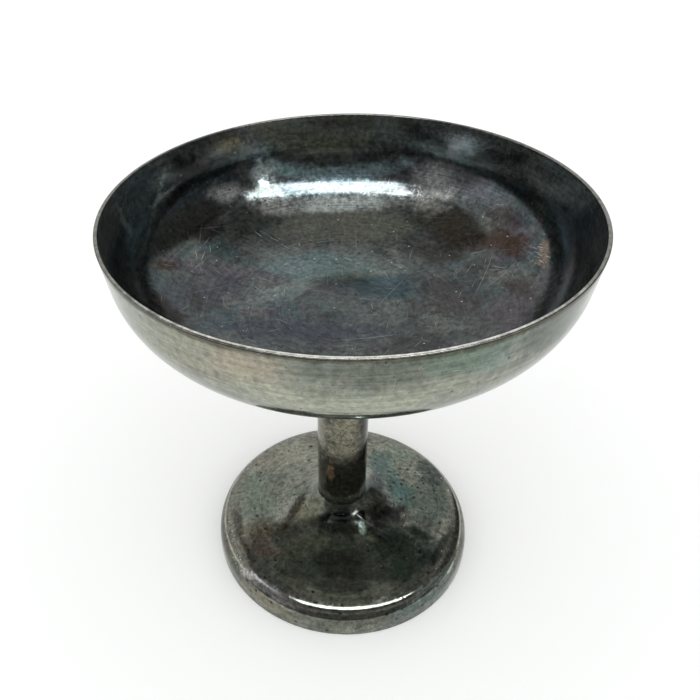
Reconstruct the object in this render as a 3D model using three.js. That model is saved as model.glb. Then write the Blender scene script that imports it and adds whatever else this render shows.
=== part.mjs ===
// A footed dish in tarnished silver plate: a wide spun bowl on a plain tube stem and a domed, spun foot.
// One tie rod runs down inside the stem, and a nut under the foot draws the three together.
// Millimetres, +Z up. The origin is the centre of the ring that the foot rests on.

import * as THREE from "three";

// Bowl. Slopes are in degrees above the horizon.
const bowlRadius = 75;
const bowlDepth = 40;
const bowlSheet = 1.2;
const bowlFlatRadius = 18;
const bowlWallSlope = 81.5;
const bowlWallRun = 11.3;
const bowlCornerRadius = 27.5;
const bowlFloorSlope = 26;
const rimEase = 0.35;

// Stem
const stemRadius = 9.5;
const stemWall = 1;
const stemLength = 85.7;

// Foot
const footRadius = 51;
const footSheet = 1;
const footEase = 0.4;
const hemWidth = 3;
const flankSlope = 88;
const flankPull = 5.3;
const domeRadius = 34;
const domeHeight = 13.5;
const domeSlope = 4;
const domePull = 18;
const trumpetPull = 9;
const neckHeight = 24;
const neckMargin = 0.2;
const neckSlope = 52;
const neckPull = 6;

// Fixings inside the stem and under the foot
const rodRadius = 2.5;
const rodPastNut = 2;
const rodChamfer = 0.4;
const bossHeight = 9;
const bossThread = 7;
const bushHeight = 5;
const cupWasherRadius = 7.5;
const cupWasherThickness = 1.4;
const cupWasherDish = 0.5;
const lockWasherRadius = 4.6;
const lockWasherThickness = 1.1;
const lockWasherSlot = 0.8;
const nutAcrossFlats = 8;
const nutHeight = 4;

// Clearance round the rod and inside the stem
const fit = 0.3;

// Steps of the curves
const roundSteps = 64;
const stemSteps = 40;
const smallSteps = 20;
const floorSteps = 6;
const cornerSteps = 8;
const flankSteps = 10;
const trumpetSteps = 9;

// Levels and radii that follow
const stemTop = neckHeight + stemLength;
const rimLevel = stemTop + bowlDepth;
const stemBore = stemRadius - stemWall;
const rodHole = rodRadius + fit;
const cupWasherTop = neckHeight - footSheet;
const lockWasherTop = cupWasherTop - cupWasherThickness;
const nutTop = lockWasherTop - lockWasherThickness;
const rodBottom = nutTop - nutHeight - rodPastNut;
const rodTop = stemTop - bossHeight + bossThread - fit;

function metal(name, color, roughness) {
  return new THREE.MeshStandardMaterial({ name, color, roughness, metalness: 1 });
}

const tarnishedBowl = metal("tarnished_bowl", 0x8b8c82, 0.3);
const tarnishedStem = metal("tarnished_stem", 0x6f6a60, 0.35);
const tarnishedFoot = metal("tarnished_foot", 0x75786e, 0.32);
const brass = metal("brass", 0xb08d4c, 0.4);
const steel = metal("steel", 0x8f9193, 0.45);

const point = (radius, height) => new THREE.Vector2(radius, height);
const radians = THREE.MathUtils.degToRad;

// The point that lies a run away from another, up a slope. Past 90 degrees it leans towards the axis.
function along(start, slope, run) {
  return point(start.x + run * Math.cos(radians(slope)), start.y + run * Math.sin(radians(slope)));
}

// The point where a slope through another point reaches a level.
function atLevel(start, slope, level) {
  return along(start, slope, (level - start.y) / Math.sin(radians(slope)));
}

// Points along a curve, all moved by one depth to the left of its run, which is into the sheet.
function trace(curve, steps, depth) {
  return Array.from({ length: steps + 1 }, (_, i) => {
    const tangent = curve.getTangent(i / steps);
    return curve.getPoint(i / steps).add(point(-tangent.y, tangent.x).multiplyScalar(depth));
  });
}

function revolve(name, outline, material, steps) {
  const mesh = new THREE.Mesh(new THREE.LatheGeometry(outline, steps).rotateX(Math.PI / 2), material);
  mesh.name = name;
  return mesh;
}

// A ring of rectangular section, closed on itself.
function ring(inner, outer, bottom, top) {
  const start = point(inner, bottom);
  return [start, point(outer, bottom), point(outer, top), point(inner, top), start];
}

// The bowl's side from the flat middle out and up to the rim: a dished floor, a round corner and a straight
// wall that leans out a little.
function bowlSide(depth) {
  const wallTop = point(bowlRadius, rimLevel - rimEase);
  const wallFoot = along(wallTop, bowlWallSlope, -bowlWallRun);
  const centre = along(wallFoot, bowlWallSlope + 90, bowlCornerRadius);
  const floorEnd = along(centre, bowlFloorSlope - 90, bowlCornerRadius);
  const floor = new THREE.QuadraticBezierCurve(
    point(bowlFlatRadius, stemTop),
    atLevel(floorEnd, bowlFloorSlope, stemTop),
    floorEnd,
  );
  const corner = new THREE.ArcCurve(
    centre.x,
    centre.y,
    bowlCornerRadius,
    radians(bowlFloorSlope - 90),
    radians(bowlWallSlope - 90),
  );
  const wall = new THREE.LineCurve(wallFoot, wallTop);
  return [
    ...trace(floor, floorSteps, depth),
    ...trace(corner, cornerSteps, depth).slice(1),
    ...trace(wall, 1, depth).slice(1),
  ];
}

function makeBowl() {
  const inside = bowlSide(bowlSheet).reverse();
  const lip = inside[0];
  const outline = [
    point(0, stemTop),
    ...bowlSide(0),
    point(bowlRadius - rimEase, rimLevel),
    point(lip.x + rimLevel - lip.y, rimLevel),
    ...inside,
    point(0, stemTop + bowlSheet),
  ];
  return revolve("bowl", outline, tarnishedBowl, roundSteps);
}

// Soldered under the bowl: it centres the stem, and the rod screws into it.
function makeBoss() {
  const bottom = stemTop - bossHeight;
  const outer = stemBore - fit;
  const outline = [
    point(rodHole, bottom),
    point(outer - fit, bottom),
    point(outer, bottom + fit),
    point(outer, stemTop),
    point(0, stemTop),
    point(0, bottom + bossThread),
    point(rodHole, bottom + bossThread),
    point(rodHole, bottom),
  ];
  return revolve("bowl_boss", outline, brass, smallSteps * 2);
}

function makeStem() {
  return revolve("stem_tube", ring(stemBore, stemRadius, neckHeight, stemTop), tarnishedStem, stemSteps);
}

// Sits on the foot's neck inside the stem's lower end and keeps the two in line.
function makeBush() {
  const outline = ring(rodHole, stemBore - fit, neckHeight, neckHeight + bushHeight);
  return revolve("stem_bush", outline, brass, smallSteps * 2);
}

function makeRod() {
  const outline = [
    point(0, rodBottom),
    point(rodRadius - rodChamfer, rodBottom),
    point(rodRadius, rodBottom + rodChamfer),
    point(rodRadius, rodTop - rodChamfer),
    point(rodRadius - rodChamfer, rodTop),
    point(0, rodTop),
  ];
  return revolve("tie_rod", outline, steel, smallSteps);
}

// The foot's side from the hem up to the neck: a steep flank that rounds over into a nearly flat dome, and a
// hollow trumpet that rises from the dome.
function footSide(depth) {
  const edge = point(footRadius, footSheet);
  const dome = point(domeRadius, domeHeight);
  const neck = point(stemRadius + neckMargin, neckHeight);
  const flank = new THREE.CubicBezierCurve(
    edge,
    along(edge, 180 - flankSlope, flankPull),
    along(dome, 180 - domeSlope, -domePull),
    dome,
  );
  const trumpet = new THREE.CubicBezierCurve(
    dome,
    along(dome, 180 - domeSlope, trumpetPull),
    along(neck, 180 - neckSlope, -neckPull),
    neck,
  );
  return [...trace(flank, flankSteps, depth), ...trace(trumpet, trumpetSteps, depth).slice(1)];
}

function makeFoot() {
  const inside = footSide(footSheet).reverse();
  inside[0] = atLevel(inside[0], 180 - neckSlope, cupWasherTop);
  const hemInner = footRadius - hemWidth;
  const outline = [
    point(hemInner, 0),
    point(footRadius - footEase, 0),
    point(footRadius, footEase),
    ...footSide(0),
    point(rodHole, neckHeight),
    point(rodHole, cupWasherTop),
    ...inside,
    point(hemInner, footSheet),
    point(hemInner, 0),
  ];
  return revolve("foot", outline, tarnishedFoot, roundSteps);
}

// A dished washer, hollow side up against the foot.
function makeCupWasher() {
  const bottom = cupWasherTop - cupWasherThickness;
  const outline = [
    point(rodHole, bottom),
    point(cupWasherRadius - cupWasherDish, bottom),
    point(cupWasherRadius, cupWasherTop - cupWasherDish),
    point(cupWasherRadius, cupWasherTop),
    point(rodHole, cupWasherTop),
    point(rodHole, bottom),
  ];
  return revolve("cup_washer", outline, steel, smallSteps * 2);
}

// A shape with a round hole for the rod, as a flat plate.
function plate(name, shape, bottom, height) {
  const geometry = new THREE.ExtrudeGeometry(shape, {
    depth: height,
    bevelEnabled: false,
    curveSegments: smallSteps,
  });
  const mesh = new THREE.Mesh(geometry, steel);
  mesh.name = name;
  mesh.position.z = bottom;
  return mesh;
}

// A split ring: the slot lets it spring.
function makeLockWasher() {
  const halfSlot = lockWasherSlot / 2;
  const outerAngle = Math.asin(halfSlot / lockWasherRadius);
  const innerAngle = Math.asin(halfSlot / rodHole);
  const shape = new THREE.Shape();
  shape.absarc(0, 0, lockWasherRadius, outerAngle, 2 * Math.PI - outerAngle, false);
  shape.absarc(0, 0, rodHole, 2 * Math.PI - innerAngle, innerAngle, true);
  return plate("lock_washer", shape, lockWasherTop - lockWasherThickness, lockWasherThickness);
}

function makeNut() {
  const cornerRadius = nutAcrossFlats / 2 / Math.cos(Math.PI / 6);
  const corners = Array.from({ length: 6 }, (_, i) => {
    const angle = (i * Math.PI) / 3;
    return point(cornerRadius * Math.cos(angle), cornerRadius * Math.sin(angle));
  });
  const shape = new THREE.Shape(corners);
  const hole = new THREE.Path();
  hole.absarc(0, 0, rodHole, 0, 2 * Math.PI, true);
  shape.holes.push(hole);
  return plate("hex_nut", shape, nutTop - nutHeight, nutHeight);
}

const dish = new THREE.Group();
dish.add(makeBowl(), makeBoss(), makeStem(), makeBush(), makeRod(), makeFoot());
dish.add(makeCupWasher(), makeLockWasher(), makeNut());

export default dish;
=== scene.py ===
"""A footed dish in tarnished silver plate, dressed for its picture.

The bowl, stem and foot are spun afresh as smooth shells over the solids of the frame, and every piece gets
its finish from nodes, which paint highlights, reflections and shade in places as well as tarnish. Sizes are
in metres, +Z up, with the origin at the middle of the foot's resting ring.
"""

import logging
import math
from dataclasses import dataclass
from enum import Enum

import bmesh
import bpy
from mathutils import Matrix, Vector

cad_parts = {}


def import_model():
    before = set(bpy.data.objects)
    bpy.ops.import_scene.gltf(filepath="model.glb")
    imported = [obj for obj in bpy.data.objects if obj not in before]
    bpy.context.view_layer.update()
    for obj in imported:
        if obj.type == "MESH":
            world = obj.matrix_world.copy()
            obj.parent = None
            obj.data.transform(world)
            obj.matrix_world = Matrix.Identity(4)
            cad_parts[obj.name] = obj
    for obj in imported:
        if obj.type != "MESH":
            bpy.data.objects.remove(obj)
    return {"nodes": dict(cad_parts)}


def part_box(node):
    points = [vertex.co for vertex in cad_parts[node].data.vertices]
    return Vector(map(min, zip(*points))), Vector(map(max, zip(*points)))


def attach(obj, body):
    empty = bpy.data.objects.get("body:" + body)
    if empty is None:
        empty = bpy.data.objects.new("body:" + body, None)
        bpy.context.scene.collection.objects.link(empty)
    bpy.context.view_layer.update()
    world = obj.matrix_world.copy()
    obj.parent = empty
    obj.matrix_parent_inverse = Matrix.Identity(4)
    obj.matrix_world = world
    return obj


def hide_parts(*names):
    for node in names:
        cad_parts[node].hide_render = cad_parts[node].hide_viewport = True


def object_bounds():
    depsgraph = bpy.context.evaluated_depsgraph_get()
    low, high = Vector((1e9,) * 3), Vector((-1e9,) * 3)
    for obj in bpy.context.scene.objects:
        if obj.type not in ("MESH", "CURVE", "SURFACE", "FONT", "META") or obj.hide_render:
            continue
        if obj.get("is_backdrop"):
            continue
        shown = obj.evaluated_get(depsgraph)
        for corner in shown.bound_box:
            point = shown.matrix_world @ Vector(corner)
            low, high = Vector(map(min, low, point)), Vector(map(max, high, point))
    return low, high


MM = 0.001
LOG = logging.getLogger("footed_dish")
SHARP_EDGE = math.radians(32)
NECK_MARGIN = 0.2 * MM
CEILING_EDGE = (0.75, 0.80)
CEILING_DIMMING = 0.8
GAP_EDGE = (0.12, 0.24)
GAP_SHARE = 0.55
RIGHT_EDGE = (0.57, 0.66)
CAMERA_SIDE_EDGE = (-0.40, -0.15)
DARK_DIMMING = 0.85
FRONT_LIGHT = 0.35
FLOOR_GLOW = 0.12

Colour = tuple[float, float, float]
Outline = list[Vector]
Socket = bpy.types.NodeSocket
Value = float | tuple[float, ...] | Socket


class Layout(Enum):
    """Ways to lay a piece's surface out flat, so that patterns keep their size on it."""

    DISH = "a bowl, whose wall carries on outwards from its floor"
    FOOT = "a low foot, whose flank carries on outwards from its top"
    TUBE = "an upright tube, unrolled, with the side that faces the camera in the middle"


WALL_SHARE = {Layout.DISH: 0.75, Layout.FOOT: 1.0}


class Graph:
    """A node tree under construction, with short methods for the nodes that the finishes share."""

    def __init__(self, tree: bpy.types.NodeTree) -> None:
        """Empties the tree.

        Args:
            tree: the node tree of a material or a world.
        """
        self.tree = tree
        tree.nodes.clear()

    def add(self, kind: str, inputs: dict[str | int, Value] | None = None, **settings: object) -> bpy.types.Node:
        """Adds a node.

        Args:
            kind: the node's type, such as ShaderNodeMath.
            inputs: a value or an output socket for each input, by its name or place.
            **settings: the node's own properties.

        Returns:
            The new node.
        """
        node = self.tree.nodes.new(kind)
        for name, setting in settings.items():
            setattr(node, name, setting)
        for key, value in (inputs or {}).items():
            self.feed(node.inputs[key], value)
        return node

    def feed(self, socket: Socket, value: Value) -> None:
        """Sets an input, or links it where the value is an output socket.

        Args:
            socket: the input.
            value: a number, a colour or an output socket.
        """
        if isinstance(value, bpy.types.NodeSocket):
            self.tree.links.new(value, socket)
        elif isinstance(value, tuple) and socket.type == "RGBA":
            socket.default_value = (*value[:3], 1.0)
        else:
            socket.default_value = value

    def math(self, operation: str, first: Value, second: Value = 0.0) -> Socket:
        """Works on one or two numbers.

        Args:
            operation: the Math node's operation.
            first: the first number.
            second: the second number.

        Returns:
            The result's socket.
        """
        return self.add("ShaderNodeMath", {0: first, 1: second}, operation=operation).outputs[0]

    def product(self, *factors: Value) -> Socket:
        """Multiplies two or more numbers."""
        result = factors[0]
        for factor in factors[1:]:
            result = self.math("MULTIPLY", result, factor)
        return result

    def vector(self, operation: str, first: Value, second: Value = (0.0, 0.0, 0.0)) -> bpy.types.Node:
        """Works on one or two vectors.

        Args:
            operation: the Vector Math node's operation.
            first: the first vector.
            second: the second vector.

        Returns:
            The node, whose outputs are Vector and Value.
        """
        return self.add("ShaderNodeVectorMath", {0: first, 1: second}, operation=operation)

    def scaled(self, vector: Value, factor: Value) -> Socket:
        """Scales a vector by one number."""
        node = self.vector("SCALE", vector)
        self.feed(node.inputs["Scale"], factor)
        return node.outputs[0]

    def span(self, value: Value, low: float, high: float, start: float = 0.0, end: float = 1.0) -> Socket:
        """Maps a range of numbers smoothly onto another and holds its ends.

        Args:
            value: the number.
            low: where the range starts.
            high: where it ends.
            start: the result at low.
            end: the result at high.

        Returns:
            The result's socket.
        """
        inputs = {"Value": value, "From Min": low, "From Max": high, "To Min": start, "To Max": end}
        return self.add("ShaderNodeMapRange", inputs, interpolation_type="SMOOTHSTEP").outputs["Result"]

    def mix(self, factor: Value, under: Value, over: Value) -> Socket:
        """Lays one colour over another.

        Args:
            factor: how much of the upper colour shows.
            under: the lower colour.
            over: the upper colour.

        Returns:
            The mixed colour's socket.
        """
        node = self.add("ShaderNodeMix", data_type="RGBA")
        self.feed(node.inputs[0], factor)
        self.feed(node.inputs[6], under)
        self.feed(node.inputs[7], over)
        return node.outputs[2]

    def millimetres(self) -> Socket:
        """Gives the piece's own coordinates in millimetres."""
        return self.scaled(self.add("ShaderNodeTexCoord").outputs["Object"], 1 / MM)

    def flattened(self, place: Socket, layout: Layout, level: float) -> Socket:
        """Lays a turned surface out flat.

        Args:
            place: the coordinates in millimetres.
            layout: how the surface is laid out.
            level: the level in millimetres from which a wall carries on outwards, or for a tube its radius.

        Returns:
            Flat coordinates in millimetres.
        """
        parts = self.add("ShaderNodeSeparateXYZ", {0: place}).outputs
        if layout is Layout.TUBE:
            angle = self.math("ARCTAN2", parts[0], self.math("MULTIPLY", parts[1], -1.0))
            around = self.math("MULTIPLY", angle, level)
            return self.add("ShaderNodeCombineXYZ", {0: around, 1: parts[2]}).outputs[0]
        level_place = self.vector("MULTIPLY", place, (1.0, 1.0, 0.0)).outputs[0]
        radius = self.math("MAXIMUM", self.vector("LENGTH", level_place).outputs["Value"], 1.0)
        rise = self.math("SUBTRACT", parts[2], level)
        if layout is Layout.FOOT:
            rise = self.math("MULTIPLY", rise, -1.0)
        unrolled = self.math("MULTIPLY", self.math("MAXIMUM", rise, 0.0), WALL_SHARE[layout])
        stretch = self.math("ADD", 1.0, self.math("DIVIDE", unrolled, radius))
        return self.scaled(level_place, stretch)

    def turned(self, flat: Socket, layout: Layout, fine: float, long: float) -> Socket:
        """Draws coordinates out along the lines that a lathe leaves.

        Args:
            flat: the flat coordinates in millimetres.
            layout: how the surface is laid out.
            fine: how many marks there are in a millimetre across the lines.
            long: how many marks there are in a turn's radian, or in a millimetre round a tube.

        Returns:
            The coordinates for a noise.
        """
        if layout is Layout.TUBE:
            return self.vector("MULTIPLY", flat, (long, fine, 1.0)).outputs[0]
        radius = self.vector("LENGTH", flat).outputs["Value"]
        around = self.scaled(self.vector("NORMALIZE", flat).outputs[0], long)
        across = self.add("ShaderNodeCombineXYZ", {2: self.math("MULTIPLY", radius, fine)}).outputs[0]
        return self.vector("ADD", around, across).outputs[0]

    def noise(self, place: Socket, scale: float, detail: float = 4.0, rough: float = 0.55,
              warp: float = 0.0) -> Socket:
        """Gives cloudy noise from 0 to 1, around one half.

        Args:
            place: the coordinates.
            scale: clouds for each unit of length.
            detail: how many finer layers it has.
            rough: how strong the finer layers are.
            warp: how far it is bent by itself.

        Returns:
            The noise's socket.
        """
        inputs = {"Vector": place, "Scale": scale, "Detail": detail, "Roughness": rough, "Distortion": warp}
        return self.add("ShaderNodeTexNoise", inputs).outputs["Fac"]

    def bump(self, height: Socket, depth: float, before: Socket | None = None) -> Socket:
        """Turns a height into a bumpy normal.

        Args:
            height: the height, 1 at its highest.
            depth: the height of 1, in metres.
            before: another bump that this one is added to.

        Returns:
            The normal's socket.
        """
        inputs: dict[str | int, Value] = {"Height": height, "Strength": 1.0, "Distance": depth}
        if before is not None:
            inputs["Normal"] = before
        return self.add("ShaderNodeBump", inputs).outputs[0]

    def seen(self) -> Socket:
        """Gives 1 where the camera looks, straight or by way of metal or glass, and 0 for the rest."""
        path = self.add("ShaderNodeLightPath").outputs
        mirrored = self.math("MAXIMUM", path["Is Glossy Ray"], path["Is Transmission Ray"])
        return self.math("MAXIMUM", path["Is Camera Ray"], mirrored)

    def metal(self, colour: Value, roughness: Value, normal: Socket | None = None, dust: float = 0.0) -> None:
        """Ends a material as metal.

        Args:
            colour: the metal's colour.
            roughness: its roughness.
            normal: its bumpy normal.
            dust: the share of the surface that is dull instead.
        """
        inputs: dict[str | int, Value] = {"Base Color": colour, "Roughness": roughness, "Metallic": 1.0 - dust,
                                          "Specular IOR Level": 0.0}
        if normal is not None:
            inputs["Normal"] = normal
        shader = self.add("ShaderNodeBsdfPrincipled", inputs)
        self.add("ShaderNodeOutputMaterial", {"Surface": shader.outputs[0]})


@dataclass(frozen=True)
class Spot:
    """An oval place on the flat layout, in millimetres.

    Attributes:
        x: its middle, to the right.
        y: its middle, away from the camera, or up on a tube.
        wide: its half length.
        narrow: its half width.
        turn: the angle of its length from X, in degrees.
        soft: the share of its size over which it fades out.
        ragged: how far its edge wanders, as a share of its size.
    """

    x: float
    y: float
    wide: float
    narrow: float
    turn: float = 0.0
    soft: float = 0.6
    ragged: float = 1.0

    def mask(self, graph: Graph, flat: Socket, wander: Socket) -> Socket:
        """Gives 1 inside the spot and 0 outside.

        Args:
            graph: the material's graph.
            flat: the flat coordinates.
            wander: a noise around zero that moves the edge.

        Returns:
            The mask's socket.
        """
        middle = Vector((self.x, self.y, 0.0))
        length = Vector((math.cos(math.radians(self.turn)), math.sin(math.radians(self.turn)), 0.0))
        squares = []
        for axis in (length / self.wide, Vector((-length.y, length.x, 0.0)) / self.narrow):
            share = graph.vector("DOT_PRODUCT", flat, tuple(axis)).outputs["Value"]
            share = graph.math("SUBTRACT", share, axis.dot(middle))
            squares.append(graph.math("MULTIPLY", share, share))
        reach = graph.math("SQRT", graph.math("ADD", *squares))
        edge = graph.math("ADD", reach, graph.math("MULTIPLY", wander, self.ragged))
        return graph.span(edge, 1.0 - self.soft, 1.0 + self.soft / 2, 1.0, 0.0)


@dataclass(frozen=True)
class Ring:
    """A band that runs round a turned piece, in millimetres.

    Attributes:
        radius: its middle's distance from the axis on the flat layout.
        half: its half width.
        soft: the share of its width over which it fades out.
        ragged: how far its edge wanders, as a share of its width.
    """

    radius: float
    half: float
    soft: float = 0.6
    ragged: float = 1.0

    def mask(self, graph: Graph, flat: Socket, wander: Socket) -> Socket:
        """Gives 1 inside the band and 0 outside, from the same arguments as a spot."""
        gap = graph.math("SUBTRACT", graph.vector("LENGTH", flat).outputs["Value"], self.radius)
        reach = graph.math("DIVIDE", graph.math("ABSOLUTE", gap), self.half)
        edge = graph.math("ADD", reach, graph.math("MULTIPLY", wander, self.ragged))
        return graph.span(edge, 1.0 - self.soft, 1.0 + self.soft / 2, 1.0, 0.0)


Place = Spot | Ring


@dataclass(frozen=True)
class StainOrPaintedLight:
    """A placed patch of film in another colour. Some are tarnish colours of the metal's own; others are painted
    light and shade: highlights, glints, glows, reflections, and dark patches that hide the strip light's reflection.

    Attributes:
        colour: its colour.
        strength: how much of it shows.
        place: where it lies.
    """

    colour: Colour
    strength: float
    place: Place


@dataclass(frozen=True)
class Cloud:
    """Patches of film in another colour that come and go at random.

    Attributes:
        colour: their colour.
        strength: how much of them shows.
        size: their usual size, in millimetres.
        level: the noise above which they show. A lower level gives more of them.
        seed: what tells one cloud's pattern from another's.
        soft: the width of their edges, as noise.
    """

    colour: Colour
    strength: float
    size: float
    level: float
    seed: float
    soft: float = 0.08

    def mask(self, graph: Graph, place: Socket) -> Socket:
        """Gives 1 inside the patches.

        Args:
            graph: the material's graph.
            place: the coordinates in millimetres.

        Returns:
            The mask's socket.
        """
        moved = graph.vector("ADD", place, (self.seed, -self.seed, 0.5 * self.seed)).outputs[0]
        noise = graph.noise(moved, 1 / self.size, 5.0, 0.6, 0.5)
        return graph.span(noise, self.level - self.soft, self.level + self.soft)


@dataclass(frozen=True)
class Grains:
    """Small round marks, at most one in each cell of a random pattern.

    Attributes:
        colour: their colour.
        strength: how much of them shows.
        cell: the usual distance between two, in millimetres.
        radius: the usual radius, in millimetres.
        share: the share of cells that hold one.
        within: where they are, or everywhere.
    """

    colour: Colour
    strength: float
    cell: float
    radius: float
    share: float
    within: tuple[Place, ...] = ()

    def mask(self, graph: Graph, flat: Socket, seed: float) -> Socket:
        """Gives 1 inside a grain, wherever it lies.

        Args:
            graph: the material's graph.
            flat: the flat coordinates.
            seed: what tells one pattern from another.

        Returns:
            The mask's socket.
        """
        moved = graph.vector("ADD", flat, (seed, 2.0 * seed, 0.0)).outputs[0]
        cells = graph.add("ShaderNodeTexVoronoi", {"Vector": moved, "Scale": 1 / self.cell},
                          voronoi_dimensions="2D").outputs
        chance = graph.add("ShaderNodeSeparateColor", {0: cells["Color"]}).outputs
        size = graph.span(chance[1], 0.0, 1.0, 0.5, 1.3)
        distance = graph.math("DIVIDE", cells["Distance"], size)
        reach = self.radius / self.cell
        return graph.product(graph.span(distance, 0.6 * reach, 1.2 * reach, 1.0, 0.0),
                             graph.math("LESS_THAN", chance[0], self.share))


@dataclass(frozen=True)
class Strokes:
    """Thin scratches, at most one in each cell of a random pattern.

    Attributes:
        strength: how bright they are.
        cell: the size of a cell, in millimetres, which a scratch doesn't leave.
        length: the greatest length, in millimetres.
        width: the half width, in millimetres.
        share: the share of cells that hold one.
        turn: their usual angle from X, in degrees.
        spread: how far their angles differ from it, in degrees.
        bend: how far their ends bend aside, in millimetres.
        within: where they are, or everywhere.
    """

    strength: float
    cell: float
    length: float
    width: float
    share: float
    turn: float = 0.0
    spread: float = 180.0
    bend: float = 0.0
    within: tuple[Place, ...] = ()

    def mask(self, graph: Graph, flat: Socket, seed: float) -> Socket:
        """Gives 1 inside a scratch, wherever it lies.

        Args:
            graph: the material's graph.
            flat: the flat coordinates.
            seed: what tells one pattern from another.

        Returns:
            The mask's socket.
        """
        moved = graph.vector("ADD", flat, (seed, -3.0 * seed, 0.0)).outputs[0]
        cells = graph.add("ShaderNodeTexVoronoi", {"Vector": moved, "Scale": 1 / self.cell},
                          voronoi_dimensions="2D").outputs
        chance = graph.add("ShaderNodeSeparateColor", {0: cells["Color"]}).outputs
        swing = math.radians(self.spread)
        angle = graph.math("MULTIPLY_ADD", chance[0], swing)
        angle.node.inputs[2].default_value = math.radians(self.turn) - swing / 2
        away = graph.vector("SUBTRACT", moved, cells["Position"]).outputs[0]
        back = graph.math("MULTIPLY", angle, -1.0)
        own = graph.add("ShaderNodeVectorRotate", {"Vector": away, "Angle": back}, rotation_type="Z_AXIS").outputs[0]
        along, across, _ = graph.add("ShaderNodeSeparateXYZ", {0: own}).outputs
        if self.bend:
            half = graph.math("DIVIDE", along, self.length / 2)
            sag = graph.product(half, half, graph.span(chance[1], 0.0, 1.0, -self.bend, self.bend))
            across = graph.math("SUBTRACT", across, sag)
        thin = graph.span(graph.math("ABSOLUTE", across), 0.4 * self.width, 1.3 * self.width, 1.0, 0.0)
        short = graph.span(graph.math("ABSOLUTE", along), 0.15 * self.length, 0.5 * self.length, 1.0, 0.0)
        clear = graph.span(chance[1], 0.0, 1.0, 0.25, 1.0)
        return graph.product(thin, short, clear, graph.math("LESS_THAN", chance[2], self.share))


def anywhere(graph: Graph, flat: Socket, wander: Socket, places: tuple[Place, ...]) -> Value:
    """Joins a few places into one mask.

    Args:
        graph: the material's graph.
        flat: the flat coordinates.
        wander: a noise around zero that moves the edges.
        places: the places.

    Returns:
        1 inside any of them, or everywhere where there is none.
    """
    if not places:
        return 1.0
    masks = [place.mask(graph, flat, wander) for place in places]
    joined = masks[0]
    for mask in masks[1:]:
        joined = graph.math("MAXIMUM", joined, mask)
    return joined


@dataclass(frozen=True)
class TarnishAndPaintedLight:
    """Silver plate under a film of tarnish, with stained patches, pits, scratches and worn places,
    and with painted highlights, painted reflections and painted shade laid on as placed patches.

    Attributes:
        name: the material's name.
        layout: how the surface is laid out flat.
        level: the level in millimetres from which a wall carries on outwards, or for a tube its radius.
        film: the film's usual colour.
        clouds: patches that come and go at random.
        stains_and_painted_light: placed patches, both tarnish colours of the metal's own and painted highlights,
            painted reflections and painted shade.
        grains: pits, crusts and specks.
        strokes: scratches.
        hollows: shallow dents.
        bare: the colour of a scratch.
        gloss: the roughness where the film is smooth.
        mottle: how much the film's lightness varies from grain to grain.
        turning: how much it varies along the lathe's lines.
        waves: the height of the sheet's own unevenness, in millimetres.
        hollow: the depth of a dent, in millimetres.
        dust: the share of the surface that is dull instead of metal.
    """

    name: str
    layout: Layout
    level: float
    film: Colour
    clouds: tuple[Cloud, ...] = ()
    stains_and_painted_light: tuple[StainOrPaintedLight, ...] = ()
    grains: tuple[Grains, ...] = ()
    strokes: tuple[Strokes, ...] = ()
    hollows: tuple[Place, ...] = ()
    bare: Colour = (0.80, 0.82, 0.80)
    gloss: float = 0.15
    mottle: float = 0.6
    turning: float = 0.3
    waves: float = 0.08
    hollow: float = 0.3
    dust: float = 0.07

    def build(self) -> bpy.types.Material:
        """Makes the material.

        Returns:
            The material.
        """
        material = bpy.data.materials.new(self.name)
        material.use_nodes = True
        graph = Graph(material.node_tree)
        place = graph.millimetres()
        flat = graph.flattened(place, self.layout, self.level)
        wander = graph.math("MULTIPLY_ADD", graph.noise(place, 0.2, 5.0, 0.65), 2.0)
        wander.node.inputs[2].default_value = -1.0
        colour: Value = self.film
        for cloud in self.clouds:
            colour = graph.mix(graph.product(cloud.mask(graph, place), cloud.strength), colour, cloud.colour)
        # Placed patches, each over the ones before: tarnish colours, and painted highlights, reflections and shade.
        for placed_mark in self.stains_and_painted_light:
            share = graph.product(placed_mark.place.mask(graph, flat, wander), placed_mark.strength)
            colour = graph.mix(share, colour, placed_mark.colour)
        mottle = graph.noise(place, 0.6, 7.0, 0.7)
        lines = graph.noise(graph.turned(flat, self.layout, 1.3, 3.0), 1.0, 3.0, 0.6)
        lightness = graph.math("ADD", graph.span(mottle, 0.3, 0.7, 1 - self.mottle / 2, 1 + self.mottle / 2),
                               graph.span(lines, 0.3, 0.7, -self.turning / 2, self.turning / 2))
        colour = graph.scaled(colour, lightness)
        for seed, grains in enumerate(self.grains, start=3):
            where = anywhere(graph, flat, wander, grains.within)
            mask = graph.product(grains.mask(graph, flat, 17.0 * seed), where)
            colour = graph.mix(graph.product(mask, grains.strength), colour, grains.colour)
        scratched: Value = 0.0
        for seed, strokes in enumerate(self.strokes, start=2):
            mask = graph.product(strokes.mask(graph, flat, 23.0 * seed), strokes.strength,
                                 anywhere(graph, flat, wander, strokes.within))
            scratched = graph.math("MAXIMUM", scratched, mask)
        colour = graph.mix(scratched, colour, self.bare)
        roughness = graph.math("ADD", graph.span(mottle, 0.3, 0.75, self.gloss, self.gloss + 0.06),
                               graph.product(scratched, 0.2))
        normal = graph.bump(graph.noise(place, 0.045, 1.5), self.waves * MM)
        if self.hollows:
            sunk = graph.math("MULTIPLY", anywhere(graph, flat, wander, self.hollows), -1.0)
            normal = graph.bump(sunk, self.hollow * MM, normal)
        graph.metal(colour, roughness, graph.bump(mottle, 0.004 * MM, normal), self.dust)
        return material


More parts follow.
